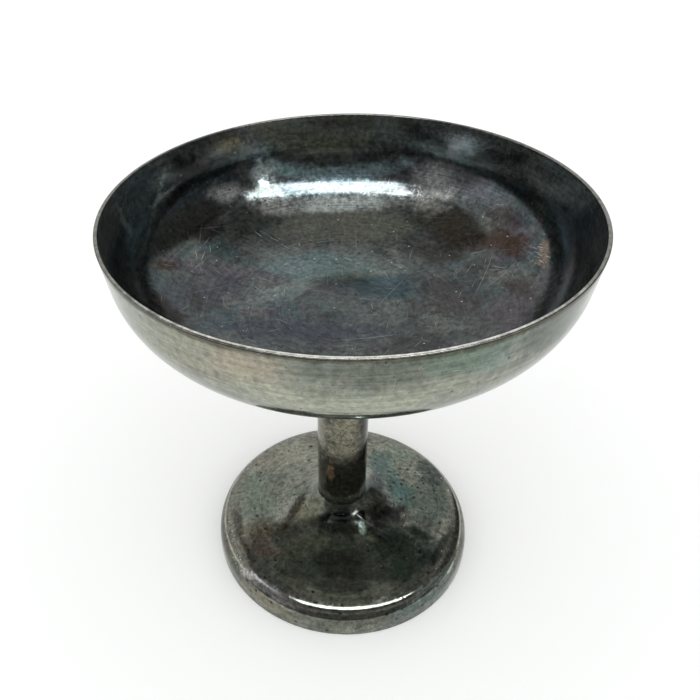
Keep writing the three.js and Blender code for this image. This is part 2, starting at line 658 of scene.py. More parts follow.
@dataclass(frozen=True)
class Worn:
    """Plain metal, dulled here and there and worn bright along its edges.

    Attributes:
        name: the material's name.
        colour: the metal's colour.
        gloss: its roughness.
        bright: the colour of worn edges.
        edges: the radii of the worn edges, in millimetres.
        edge: the half width of a worn edge, in millimetres.
    """

    name: str
    colour: Colour
    gloss: float = 0.25
    bright: Colour = (0.85, 0.84, 0.80)
    edges: tuple[float, ...] = ()
    edge: float = 0.3

    def build(self) -> bpy.types.Material:
        """Makes the material.

        Returns:
            The material.
        """
        material = bpy.data.materials.new(self.name)
        material.use_nodes = True
        graph = Graph(material.node_tree)
        place = graph.millimetres()
        rub = graph.noise(place, 0.7, 5.0, 0.7)
        colour: Value = graph.scaled(self.colour, graph.span(rub, 0.3, 0.7, 1.25, 0.65))
        level_place = graph.vector("MULTIPLY", place, (1.0, 1.0, 0.0)).outputs[0]
        radius = graph.vector("LENGTH", level_place).outputs["Value"]
        for edge in self.edges:
            gap = graph.math("ABSOLUTE", graph.math("SUBTRACT", radius, edge))
            worn = graph.product(graph.span(gap, 0.3 * self.edge, self.edge, 1.0, 0.0),
                                 graph.span(graph.noise(place, 0.12, 4.0, 0.7), 0.35, 0.6))
            colour = graph.mix(worn, colour, self.bright)
        roughness = graph.span(rub, 0.3, 0.7, self.gloss, self.gloss + 0.15)
        graph.metal(colour, roughness, graph.bump(rub, 0.01 * MM))
        return material


# The inside's film is darker than the outside's: partly tarnish, partly painted shade of the bowl's hollow.
INSIDE = TarnishAndPaintedLight(
    "tarnish_and_painted_light_inside", Layout.DISH, 117.5, (0.088, 0.098, 0.094), gloss=0.11, mottle=0.75, turning=0.35,
    clouds=(
        Cloud((0.042, 0.047, 0.047), 0.75, 18.0, 0.53, 5.0),
        Cloud((0.140, 0.150, 0.135), 0.60, 12.0, 0.57, 31.0),
        Cloud((0.090, 0.072, 0.095), 0.50, 22.0, 0.57, 57.0),
        Cloud((0.050, 0.090, 0.097), 0.50, 14.0, 0.56, 83.0),
        Cloud((0.028, 0.028, 0.026), 0.60, 5.0, 0.61, 11.0, 0.04),
    ),
    stains_and_painted_light=(
        StainOrPaintedLight((0.270, 0.290, 0.280), 0.80, Ring(94.0, 6.5)),
        StainOrPaintedLight((0.121, 0.126, 0.103), 0.85, Spot(0.0, 49.0, 36.0, 11.0)),
        # Painted glow: a pale band below the strip light's reflection, where the scuffed metal spreads it.
        StainOrPaintedLight((0.433, 0.477, 0.455), 0.80, Spot(-4.0, 61.0, 36.0, 4.5, 3.0)),
        StainOrPaintedLight((0.068, 0.067, 0.055), 0.80, Spot(-61.0, 34.0, 21.0, 8.0, 51.0)),
        StainOrPaintedLight((0.110, 0.092, 0.069), 0.75, Spot(42.0, 42.0, 13.0, 9.0, -60.0)),
        StainOrPaintedLight((0.105, 0.146, 0.149), 0.80, Spot(-12.0, 26.0, 22.0, 9.0, 5.0)),
        StainOrPaintedLight((0.033, 0.055, 0.067), 0.85, Spot(13.0, 14.0, 17.0, 9.0, 5.0)),
        StainOrPaintedLight((0.047, 0.055, 0.068), 0.80, Spot(-14.0, -13.0, 34.0, 8.0, 2.0)),
        StainOrPaintedLight((0.051, 0.054, 0.064), 0.75, Spot(-50.0, 2.0, 17.0, 10.0, 50.0)),
        StainOrPaintedLight((0.043, 0.038, 0.038), 0.70, Spot(36.0, 8.0, 15.0, 11.0, -55.0)),
        StainOrPaintedLight((0.136, 0.159, 0.159), 0.70, Spot(-24.0, 8.0, 15.0, 5.0, 33.0)),
        # Painted glow at the right end of the strip light's reflection.
        StainOrPaintedLight((0.660, 0.680, 0.680), 0.88, Spot(39.0, 66.5, 13.0, 7.5, -30.0, 0.8, 0.8)),
        StainOrPaintedLight((0.130, 0.140, 0.162), 0.75, Spot(55.0, 56.0, 18.0, 6.0, -52.0)),
        StainOrPaintedLight((0.041, 0.024, 0.015), 0.80, Spot(59.0, 28.0, 13.0, 6.0, -47.0)),
        StainOrPaintedLight((0.066, 0.047, 0.039), 0.70, Spot(48.0, 32.0, 8.0, 5.0, -30.0)),
        StainOrPaintedLight((0.040, 0.027, 0.018), 0.80, Spot(-64.0, 11.0, 7.0, 3.0, 38.0)),
        StainOrPaintedLight((0.088, 0.077, 0.084), 0.60, Spot(52.0, -4.0, 12.0, 8.0, 60.0)),
        StainOrPaintedLight((0.103, 0.131, 0.163), 0.80, Spot(88.0, 9.0, 18.0, 9.0, -70.0)),
        StainOrPaintedLight((0.034, 0.037, 0.035), 0.85, Spot(55.0, 71.0, 34.0, 3.2, -38.0)),
        StainOrPaintedLight((0.488, 0.384, 0.216), 0.70, Spot(-56.0, 75.0, 9.0, 4.0, 30.0, 1.0)),
        # Painted bluish haze along the upper edge of the strip light's reflection.
        StainOrPaintedLight((0.358, 0.503, 0.540), 0.70, Spot(-5.0, 76.0, 38.0, 4.0, 3.0)),
        StainOrPaintedLight((0.158, 0.210, 0.226), 0.75, Spot(-84.0, 20.0, 22.0, 8.0, -80.0)),
        StainOrPaintedLight((0.253, 0.247, 0.181), 0.75, Spot(-20.0, 88.0, 42.0, 5.0, 5.0)),
        # Painted shade: a dark patch that hides a reflection of the strip light on the left wall.
        StainOrPaintedLight((0.015, 0.018, 0.019), 0.85, Spot(-74.0, 50.5, 16.0, 6.0, 55.0)),
        # Painted glow of the strip light in scuffed metal around its reflection, in three patches.
        StainOrPaintedLight((0.720, 0.730, 0.720), 0.85, Spot(-51.0, 57.0, 8.0, 4.5, 35.0, 0.8, 0.8)),
        StainOrPaintedLight((0.720, 0.730, 0.700), 0.80, Spot(-28.0, 56.5, 9.0, 4.5, 5.0, 0.8, 0.8)),
        StainOrPaintedLight((0.600, 0.600, 0.552), 0.80, Spot(33.0, 59.0, 9.0, 7.0, -20.0, 0.8, 0.8)),
        StainOrPaintedLight((0.012, 0.012, 0.012), 0.85, Spot(-53.0, 36.0, 10.0, 5.0, 55.0)),
        # Painted shadow at the front left edge of the floor, under the front wall.
        StainOrPaintedLight((0.018, 0.016, 0.013), 0.80, Spot(-57.0, -13.0, 11.0, 4.0, -35.0)),
        StainOrPaintedLight((0.039, 0.032, 0.030), 0.75, Spot(57.0, 4.0, 8.0, 5.0, -60.0)),
        StainOrPaintedLight((0.036, 0.032, 0.026), 0.60, Spot(34.0, 32.0, 10.0, 6.0, -30.0)),
        StainOrPaintedLight((0.248, 0.182, 0.133), 0.60, Spot(70.5, 14.0, 6.0, 3.0, 60.0, ragged=2.0)),
        # Painted cyan edge at the left end of the strip light's reflection.
        StainOrPaintedLight((0.369, 0.539, 0.531), 0.75, Spot(-28.0, 75.0, 9.0, 3.2, 0.0, 0.8, 0.8)),
        # Painted shade: a dark patch on the left wall that hides mirrored highlights there.
        StainOrPaintedLight((0.026, 0.030, 0.029), 0.80, Spot(-57.0, 67.5, 14.0, 4.2, 42.0)),
        StainOrPaintedLight((0.035, 0.027, 0.030), 0.60, Spot(62.0, 40.0, 11.0, 5.0, -55.0)),
        StainOrPaintedLight((0.035, 0.035, 0.035), 0.60, Spot(22.0, -18.0, 22.0, 5.0, 10.0)),
        StainOrPaintedLight((0.098, 0.093, 0.076), 0.85, Spot(-2.0, 96.0, 30.0, 3.6)),
        StainOrPaintedLight((0.325, 0.320, 0.325), 0.80, Spot(54.0, 76.5, 7.5, 6.0, -38.0, 0.9, 0.8)),
        # Film under the strip light's reflection, made lighter so that the reflection shows as an even white: part
        # of a painted highlight.
        StainOrPaintedLight((0.115, 0.130, 0.135), 0.90, Spot(-5.4, 69.9, 35.0, 3.4, 0.0, 0.4, 0.4)),
        # Painted glint at the left end of the strip light's reflection.
        StainOrPaintedLight((0.750, 0.850, 0.850), 0.97, Spot(-37.0, 71.0, 6.5, 5.0, 25.0, 0.8, 0.8)),
        StainOrPaintedLight((0.206, 0.268, 0.273), 0.80, Spot(-78.3, 31.0, 16.0, 1.4, -81.0, ragged=1.2)),
        StainOrPaintedLight((0.510, 0.600, 0.600), 0.60, Spot(-88.0, 10.4, 6.5, 2.0, 14.0, ragged=2.0)),
        StainOrPaintedLight((0.100, 0.124, 0.155), 0.60, Spot(-68.6, 42.6, 14.0, 1.6, 69.0, ragged=2.0)),
        StainOrPaintedLight((0.042, 0.044, 0.041), 0.80, Spot(-49.0, -1.7, 5.5, 2.6, -85.0)),
    ),
    grains=(
        Grains((0.020, 0.020, 0.018), 0.80, 6.0, 0.35, 0.35),
        Grains((0.480, 0.500, 0.490), 0.70, 7.0, 0.26, 0.30),
        Grains((0.300, 0.280, 0.240), 0.50, 3.0, 0.18, 0.20),
    ),
    strokes=(
        Strokes(0.25, 5.0, 6.5, 0.07, 0.45),
        Strokes(0.30, 30.0, 28.0, 0.08, 0.60, bend=2.0),
        Strokes(0.45, 2.4, 4.0, 0.08, 0.80, 40.0, 60.0, within=(Spot(-6.0, 61.5, 40.0, 5.5, 3.0),)),
        Strokes(0.60, 2.6, 4.0, 0.08, 0.80, 80.0, 24.0, within=(Spot(36.0, 63.0, 9.0, 6.0, -18.0),)),
        Strokes(0.45, 5.0, 7.0, 0.09, 0.55, 90.0, 70.0, within=(Spot(-50.0, 26.0, 12.0, 9.0, 75.0),)),
        Strokes(0.75, 3.2, 6.0, 0.09, 0.75, -28.0, 14.0, within=(Spot(-29.0, 39.0, 8.0, 3.4, -24.0),)),
        Strokes(0.45, 6.0, 8.0, 0.09, 0.80, 0.0, 180.0, 1.2, within=(Spot(47.0, 21.0, 15.0, 10.0, -70.0),)),
        Strokes(0.75, 2.2, 4.5, 0.09, 0.75, -59.0, 18.0, within=(Spot(68.0, 15.0, 9.0, 4.0, -59.0),)),
    ),
    hollows=(Spot(-37.5, 73.0, 5.5, 4.5, 20.0, 1.2, 0.3),),
)
OUTSIDE = TarnishAndPaintedLight(
    "tarnish_and_painted_shade_outside", Layout.DISH, 117.5, (0.225, 0.234, 0.197), gloss=0.12, mottle=0.5, turning=0.35,
    clouds=(
        Cloud((0.180, 0.205, 0.175), 0.70, 15.0, 0.54, 7.0),
        Cloud((0.360, 0.340, 0.270), 0.55, 12.0, 0.57, 43.0),
        Cloud((0.190, 0.200, 0.210), 0.50, 9.0, 0.58, 61.0),
        Cloud((0.120, 0.110, 0.090), 0.60, 4.0, 0.62, 13.0, 0.04),
    ),
    stains_and_painted_light=(
        StainOrPaintedLight((0.373, 0.329, 0.255), 0.80, Spot(-32.0, -87.0, 17.0, 7.0, -28.0)),
        StainOrPaintedLight((0.265, 0.273, 0.211), 0.70, Spot(-55.0, -72.0, 26.0, 9.0, -50.0)),
        StainOrPaintedLight((0.371, 0.387, 0.302), 0.75, Spot(0.0, -82.0, 40.0, 7.0)),
        StainOrPaintedLight((0.132, 0.148, 0.125), 0.80, Spot(6.0, -95.0, 30.0, 5.0, 8.0)),
        StainOrPaintedLight((0.123, 0.172, 0.135), 0.80, Spot(38.0, -88.0, 20.0, 6.0, 24.0)),
        StainOrPaintedLight((0.071, 0.093, 0.073), 0.75, Spot(66.0, -66.0, 22.0, 10.0, 48.0)),
        StainOrPaintedLight((0.180, 0.237, 0.209), 0.60, Spot(45.0, -79.0, 9.0, 4.0, 30.0)),
        StainOrPaintedLight((0.078, 0.076, 0.057), 0.75, Ring(98.4, 0.9, ragged=1.5)),
        # Painted shade: a thin dark line under the outer edge of the rim.
        StainOrPaintedLight((0.024, 0.024, 0.016), 0.90, Ring(98.85, 0.3, 0.5, 0.8)),
    ),
    grains=(
        Grains((0.040, 0.040, 0.036), 0.85, 9.0, 0.45, 0.45),
        Grains((0.080, 0.075, 0.060), 0.70, 3.0, 0.20, 0.30),
        Grains((0.600, 0.600, 0.560), 0.60, 6.0, 0.22, 0.30),
    ),
    strokes=(
        Strokes(0.22, 4.0, 4.5, 0.08, 0.35),
        Strokes(0.20, 26.0, 24.0, 0.09, 0.50, bend=1.5),
    ),
)
STEM = TarnishAndPaintedLight(
    "tarnish_stem", Layout.TUBE, 9.5, (0.109, 0.105, 0.080), gloss=0.1, mottle=1.1, turning=0.3,
    clouds=(
        Cloud((0.085, 0.075, 0.062), 0.75, 6.0, 0.53, 9.0),
        Cloud((0.230, 0.230, 0.190), 0.60, 5.0, 0.57, 39.0),
        Cloud((0.040, 0.036, 0.032), 0.70, 2.5, 0.60, 71.0, 0.04),
    ),
    stains_and_painted_light=(
        StainOrPaintedLight((0.212, 0.197, 0.157), 0.80, Spot(-9.5, 60.0, 40.0, 3.4, 90.0)),
        StainOrPaintedLight((0.016, 0.014, 0.012), 0.80, Spot(10.0, 60.0, 40.0, 3.4, 90.0)),
        StainOrPaintedLight((0.186, 0.180, 0.129), 0.70, Spot(1.0, 62.0, 22.0, 4.5, 90.0)),
        StainOrPaintedLight((0.097, 0.098, 0.076), 0.85, Spot(1.0, 30.0, 30.0, 17.0, 0.0, 0.15, 0.15)),
        StainOrPaintedLight((0.600, 0.443, 0.275), 0.90, Spot(-4.6, 41.7, 6.0, 1.6, 88.0)),
    ),
    grains=(
        Grains((0.030, 0.026, 0.022), 0.80, 2.6, 0.28, 0.45),
        Grains((0.420, 0.400, 0.340), 0.70, 3.0, 0.20, 0.40),
    ),
    strokes=(Strokes(0.30, 3.4, 4.0, 0.08, 0.45, 90.0, 120.0),),
)
FOOT = TarnishAndPaintedLight(
    "tarnish_and_painted_light_foot", Layout.FOOT, 13.5, (0.171, 0.180, 0.150), gloss=0.09, mottle=0.8, turning=0.3,
    clouds=(
        Cloud((0.110, 0.135, 0.115), 0.65, 13.0, 0.54, 3.0),
        Cloud((0.260, 0.265, 0.225), 0.55, 10.0, 0.57, 27.0),
        Cloud((0.130, 0.115, 0.090), 0.55, 11.0, 0.57, 51.0),
        Cloud((0.050, 0.050, 0.042), 0.65, 3.5, 0.61, 77.0, 0.04),
    ),
    stains_and_painted_light=(
        StainOrPaintedLight((0.103, 0.105, 0.092), 0.60, Ring(56.5, 3.0)),
        StainOrPaintedLight((0.021, 0.025, 0.022), 0.85, Spot(53.0, 12.0, 26.0, 4.5, 78.0)),
        StainOrPaintedLight((0.089, 0.085, 0.071), 0.50, Spot(-51.5, -14.0, 22.0, 4.0, -75.0)),
        StainOrPaintedLight((0.138, 0.165, 0.134), 0.80, Spot(-35.0, 3.0, 15.0, 9.0, -62.0)),
        StainOrPaintedLight((0.200, 0.185, 0.150), 0.70, Spot(-36.0, 27.0, 9.0, 9.0)),
        StainOrPaintedLight((0.235, 0.236, 0.185), 0.70, Spot(-22.0, 28.0, 12.0, 12.0)),
        StainOrPaintedLight((0.067, 0.111, 0.100), 0.80, Spot(17.0, 22.0, 11.0, 6.0, 81.0)),
        StainOrPaintedLight((0.162, 0.201, 0.156), 0.70, Spot(27.0, 32.0, 9.0, 6.0, 62.0)),
        StainOrPaintedLight((0.044, 0.099, 0.095), 0.75, Spot(23.0, 7.0, 10.0, 8.0, -62.0)),
        StainOrPaintedLight((0.040, 0.067, 0.055), 0.60, Spot(36.0, 3.0, 18.0, 11.0, 60.0)),
        StainOrPaintedLight((0.185, 0.168, 0.120), 0.80, Spot(-33.0, -16.0, 11.0, 4.5, 0.0)),
        StainOrPaintedLight((0.231, 0.179, 0.146), 0.70, Spot(-31.0, -24.0, 9.0, 5.0, -16.0)),
        StainOrPaintedLight((0.085, 0.097, 0.092), 0.80, Spot(2.0, -33.0, 30.0, 12.0, 3.0)),
        StainOrPaintedLight((0.044, 0.066, 0.056), 0.70, Spot(25.0, -29.0, 9.0, 6.0, 15.0)),
        StainOrPaintedLight((0.126, 0.131, 0.087), 0.80, Spot(-13.0, -9.0, 6.0, 5.0, -39.0)),
        # Painted shade: near-black over the neck's front, which also hides most of the strip light's reflection
        # there.
        StainOrPaintedLight((0.015, 0.017, 0.014), 0.90, Spot(0.5, -15.5, 11.0, 6.5)),
        # Painted cyan glint on the neck.
        StainOrPaintedLight((0.550, 0.700, 0.620), 0.85, Spot(8.4, -16.0, 2.4, 1.5, 80.0)),
        # Painted shade: two near-black patches that hide the rest of the strip light's reflection in the neck.
        StainOrPaintedLight((0.002, 0.002, 0.002), 0.99, Spot(-0.5, -13.2, 8.5, 1.9, 0.0, 0.4, 0.2)),
        StainOrPaintedLight((0.002, 0.002, 0.002), 0.99, Spot(7.2, -11.7, 3.4, 1.7, 38.0, 0.4, 0.2)),
        StainOrPaintedLight((0.012, 0.012, 0.012), 0.90, Spot(18.0, -8.0, 10.0, 6.0, 20.0)),
        # Painted reflection: the dark wavy edge of the bowl's underside mirrored on the left of the foot.
        StainOrPaintedLight((0.024, 0.020, 0.012), 0.85, Spot(-19.5, -7.5, 9.5, 2.6, 60.0, ragged=1.2)),
        StainOrPaintedLight((0.258, 0.258, 0.225), 0.75, Spot(1.0, -42.5, 25.0, 3.0, 3.0)),
        StainOrPaintedLight((0.241, 0.230, 0.179), 0.75, Spot(-33.0, -47.0, 15.0, 5.0, -27.0)),
        StainOrPaintedLight((0.131, 0.168, 0.157), 0.70, Spot(34.0, -47.0, 18.0, 6.0, 35.0)),
        StainOrPaintedLight((0.034, 0.047, 0.039), 0.85, Spot(22.0, -21.0, 13.0, 8.0)),
        # Painted reflection: the dark edge of the mirrored bowl on the right of the foot.
        StainOrPaintedLight((0.012, 0.013, 0.012), 0.85, Spot(41.5, -21.0, 14.0, 4.4, 65.0, 0.4, 0.6)),
        StainOrPaintedLight((0.030, 0.027, 0.018), 0.75, Spot(-39.0, -25.0, 11.0, 2.6, -70.0, 0.5, 0.8)),
        StainOrPaintedLight((0.184, 0.186, 0.158), 0.80, Spot(1.0, -29.0, 7.0, 6.0)),
        StainOrPaintedLight((0.346, 0.345, 0.319), 0.75, Spot(1.0, -39.0, 20.0, 3.5)),
        StainOrPaintedLight((0.159, 0.158, 0.133), 0.75, Ring(48.4, 1.9)),
        # Painted highlight: the shoulder's highlight drawn out at its front left and front right.
        StainOrPaintedLight((0.600, 0.600, 0.600), 0.85, Spot(-29.0, -43.0, 13.0, 3.0, -35.0, ragged=1.5)),
        StainOrPaintedLight((0.475, 0.587, 0.544), 0.80, Spot(38.0, -36.0, 15.0, 2.2, 45.0, ragged=1.5)),
        # Painted shadow to the right of the stem's base.
        StainOrPaintedLight((0.014, 0.027, 0.029), 0.80, Spot(13.5, 5.5, 10.5, 5.0, 62.0)),
        StainOrPaintedLight((0.033, 0.041, 0.035), 0.80, Spot(30.0, -13.5, 9.0, 2.0, -20.0)),
        StainOrPaintedLight((0.042, 0.051, 0.048), 0.80, Spot(39.0, 22.0, 11.0, 7.0, -60.0)),
        # Painted reflection: a dark mirrored edge on the left of the foot.
        StainOrPaintedLight((0.050, 0.044, 0.036), 0.70, Spot(-43.5, -11.0, 9.0, 2.8, -75.0, 0.5, 0.8)),
        # A small spot lighter than the painted shade around it, where the strip light's reflection shows as a glint.
        StainOrPaintedLight((0.040, 0.041, 0.038), 0.90, Spot(5.0, -11.0, 1.1, 0.6, 20.0)),
        StainOrPaintedLight((0.351, 0.334, 0.281), 0.85, Ring(52.4, 0.8, ragged=1.2)),
    ),
    grains=(
        Grains((0.022, 0.022, 0.020), 0.85, 5.0, 0.60, 0.35),
        Grains((0.022, 0.026, 0.024), 0.90, 3.2, 0.72, 0.60, within=(Spot(32.0, 14.0, 26.0, 14.0, 70.0),)),
        Grains((0.500, 0.500, 0.450), 0.75, 5.0, 0.22, 0.15),
        Grains((0.620, 0.640, 0.600), 0.85, 2.4, 0.24, 0.40, within=(Ring(49.5, 2.2),)),
    ),
    strokes=(
        Strokes(0.22, 4.0, 4.5, 0.08, 0.40),
        Strokes(0.20, 24.0, 22.0, 0.09, 0.60, bend=1.5),
        Strokes(0.70, 3.6, 5.0, 0.13, 0.80, 0.0, 24.0, within=(Ring(54.3, 0.7),)),
    ),
    hollows=(Spot(-49.5, -10.0, 4.5, 2.5, -21.0, 1.2, 0.3),),
)
RIM = TarnishAndPaintedLight(
    "worn_and_painted_light_rim", Layout.DISH, 117.5, (0.190, 0.190, 0.172), gloss=0.2, mottle=0.7, turning=0.0,
    stains_and_painted_light=(
        # Paler over the front of the rim: partly wear, partly painted light on the side facing the camera.
        StainOrPaintedLight((0.740, 0.730, 0.670), 0.95, Spot(5.0, -99.0, 90.0, 42.0, 0.0, 0.9)),
        # Painted shade: a thin dark line on the rim's outer rounding that dims the strip light's reflection there.
        StainOrPaintedLight((0.110, 0.108, 0.095), 0.80, Ring(98.93, 0.13, 0.5, 0.2)),
    ),
)
BRASS = Worn("dull_brass", (0.55, 0.40, 0.16), 0.35)
STEEL = Worn("dull_steel", (0.42, 0.42, 0.43), 0.35)


@dataclass(frozen=True)
class Bezier:
    """A curve in the plane of a section, led by its points.

    Attributes:
        points: the ends and the points between them that pull the curve.
    """

    points: tuple[Vector, ...]

    def at(self, share: float) -> Vector:
        """Gives the point at a share of the run."""
        row = self.points
        while len(row) > 1:
            row = tuple(first.lerp(second, share) for first, second in zip(row, row[1:]))
        return row[0]

    def heading(self, share: float) -> Vector:
        """Gives the curve's direction at a share of the run."""
        return Bezier(tuple(b - a for a, b in zip(self.points, self.points[1:]))).at(share).normalized()


@dataclass(frozen=True)
class Arc:
    """Part of a circle in the plane of a section.

    Attributes:
        centre: the circle's centre.
        radius: its radius.
        start: the angle of the first point from the radius's direction, in degrees.
        end: the angle of the last point, larger than start.
    """

    centre: Vector
    radius: float
    start: float
    end: float

    def angle(self, share: float) -> float:
        """Gives the angle at a share of the run, in radians."""
        return math.radians(self.start + (self.end - self.start) * share)

    def at(self, share: float) -> Vector:
        """Gives the point at a share of the run."""
        angle = self.angle(share)
        return self.centre + self.radius * Vector((math.cos(angle), math.sin(angle)))

    def heading(self, share: float) -> Vector:
        """Gives the curve's direction at a share of the run."""
        angle = self.angle(share)
        return Vector((-math.sin(angle), math.cos(angle)))


def traced(curve: Bezier | Arc, steps: int, depth: float = 0.0) -> Outline:
    """Samples a curve.

    Args:
        curve: the curve.
        steps: how many steps it has.
        depth: how far the points move to the left of the run, which is into the sheet.

    Returns:
        The points.
    """
    points = []
    for step in range(steps + 1):
        share = step / steps
        heading = curve.heading(share)
        points.append(curve.at(share) + depth * Vector((-heading.y, heading.x)))
    return points


def along(start: Vector, slope: float, run: float) -> Vector:
    """Gives the point that lies a run away, up a slope in degrees."""
    angle = math.radians(slope)
    return start + run * Vector((math.cos(angle), math.sin(angle)))


class Shell:
    """Meshes turned about the stem's axis."""

    @staticmethod
    def spun(name: str, outline: Outline, steps: int, closed: bool) -> bpy.types.Object:
        """Turns an outline once round the axis.

        Args:
            name: the piece's name.
            outline: radius and height of each point.
            steps: how many steps a full turn has.
            closed: whether the outline's last point joins its first.

        Returns:
            The new object, at the origin.
        """
        shape = bmesh.new()
        verts = [shape.verts.new((radius, 0.0, height)) for radius, height in outline]
        ends = verts[1:] + verts[:1] if closed else verts[1:]
        edges = [shape.edges.new(pair) for pair in zip(verts, ends)]
        bmesh.ops.spin(shape, geom=verts + edges, cent=(0, 0, 0), axis=(0, 0, 1), dvec=(0, 0, 0),
                       angle=math.tau, steps=steps, use_merge=True, use_duplicate=False)
        bmesh.ops.remove_doubles(shape, verts=shape.verts, dist=0.0005 * MM)
        bmesh.ops.recalc_face_normals(shape, faces=shape.faces)
        for face in shape.faces:
            face.smooth = True
        for edge in shape.edges:
            edge.smooth = not edge.is_manifold or edge.calc_face_angle() < SHARP_EDGE
        mesh = bpy.data.meshes.new(name)
        shape.to_mesh(mesh)
        shape.free()
        piece = bpy.data.objects.new(name, mesh)
        bpy.context.scene.collection.objects.link(piece)
        return piece

    @staticmethod
    def dress(piece: bpy.types.Object, materials: list[bpy.types.Material], slot: str, node: str) -> None:
        """Puts the materials on a piece, and lets it stand for a node of the frame.

        Args:
            piece: the piece.
            materials: its materials in order.
            slot: not used.
            node: the node that it replaces.
        """
        for material in materials:
            piece.data.materials.append(material)
        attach(piece, "root")
        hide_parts(node)
        LOG.info("%s made", piece.name)


@dataclass
class Bowl:
    """The spun bowl.

    Attributes:
        radius: its outer radius at the rim.
        bottom: the level of its flat underside.
        rim: the level of its rim.
        flat_radius: the radius of the flat middle.
        sheet: the thickness of the sheet.
        wall_slope: the wall's slope above the horizon, in degrees.
        wall_run: the wall's straight length.
        corner_radius: the radius of the corner between wall and floor.
        floor_slope: the floor's slope where it meets the corner, in degrees.
        ease: the radius of the rim's edges.
    """

    radius: float
    bottom: float
    rim: float
    flat_radius: float = 18.0 * MM
    sheet: float = 1.2 * MM
    wall_slope: float = 81.5
    wall_run: float = 11.3 * MM
    corner_radius: float = 27.5 * MM
    floor_slope: float = 26.0
    ease: float = 0.35 * MM
    floor_steps: int = 24
    corner_steps: int = 28
    wall_steps: int = 6
    ease_steps: int = 4
    turn_steps: int = 192

    def side(self, depth: float) -> Outline:
        """Gives one face of the sheet from the flat middle up to the rim.

        Args:
            depth: the depth below the outer face.

        Returns:
            The points.
        """
        top = Vector((self.radius, self.rim - self.ease))
        wall_foot = along(top, self.wall_slope, -self.wall_run)
        centre = along(wall_foot, self.wall_slope + 90, self.corner_radius)
        corner = Arc(centre, self.corner_radius, self.floor_slope - 90, self.wall_slope - 90)
        floor_end = corner.at(0.0)
        rise = (floor_end.y - self.bottom) / math.sin(math.radians(self.floor_slope))
        pull = along(floor_end, self.floor_slope, -rise)
        floor = Bezier((Vector((self.flat_radius, self.bottom)), pull, floor_end))
        return [*traced(floor, self.floor_steps, depth), *traced(corner, self.corner_steps, depth)[1:],
                *traced(Bezier((wall_foot, top)), self.wall_steps, depth)[1:]]

    def outline(self) -> Outline:
        """Gives the section, from the axis below round to the axis above."""
        outer = self.side(0.0)
        inner = self.side(self.sheet)
        inner[-1] = Vector((inner[-1].x, self.rim - self.ease))
        outer_round = Arc(outer[-1] - Vector((self.ease, 0.0)), self.ease, 0.0, 90.0)
        inner_round = Arc(inner[-1] + Vector((self.ease, 0.0)), self.ease, 90.0, 180.0)
        return [
            Vector((0.0, self.bottom)), Vector((self.flat_radius / 2, self.bottom)), *outer,
            *traced(outer_round, self.ease_steps)[1:], *traced(inner_round, self.ease_steps)[:-1],
            *reversed(inner),
            Vector((self.flat_radius / 2, self.bottom + self.sheet)), Vector((0.0, self.bottom + self.sheet)),
        ]

    def build(self) -> bpy.types.Object:
        """Makes the bowl, with its outside, inside and rim in finishes of their own.

        Returns:
            The bowl.
        """
        piece = Shell.spun("bowl_shell", self.outline(), self.turn_steps, closed=False)
        for face in piece.data.polygons:
            away = Vector((face.center.x, face.center.y, 0.0)).normalized()
            inward = face.normal.z - face.normal.dot(away) > 0
            on_rim = face.center.z > self.rim - self.ease
            face.material_index = 2 if on_rim else int(inward)
        Shell.dress(piece, [OUTSIDE.build(), INSIDE.build(), RIM.build()], "bowl_plate", "bowl")
        return piece


@dataclass
class Stem:
    """The straight tube between bowl and foot.

    Attributes:
        radius: its outer radius.
        bottom: the level of its lower end.
        top: the level of its upper end.
        wall: its wall.
        ease: the radius of its outer edges.
    """

    radius: float
    bottom: float
    top: float
    wall: float = 1.0 * MM
    ease: float = 0.4 * MM
    ease_steps: int = 4
    turn_steps: int = 96
    bands: int = 24

    def outline(self) -> Outline:
        """Gives the closed section of the tube's wall."""
        bore = self.radius - self.wall
        centre = self.radius - self.ease
        low = Arc(Vector((centre, self.bottom + self.ease)), self.ease, -90.0, 0.0)
        high = Arc(Vector((centre, self.top - self.ease)), self.ease, 0.0, 90.0)
        side = Bezier((low.at(1.0), high.at(0.0)))
        return [Vector((bore, self.bottom)), *traced(low, self.ease_steps), *traced(side, self.bands)[1:-1],
                *traced(high, self.ease_steps), Vector((bore, self.top))]

    def build(self) -> bpy.types.Object:
        """Makes the stem.

        Returns:
            The stem.
        """
        piece = Shell.spun("stem_skin", self.outline(), self.turn_steps, closed=True)
        Shell.dress(piece, [STEM.build()], "stem_plate", "stem_tube")
        return piece


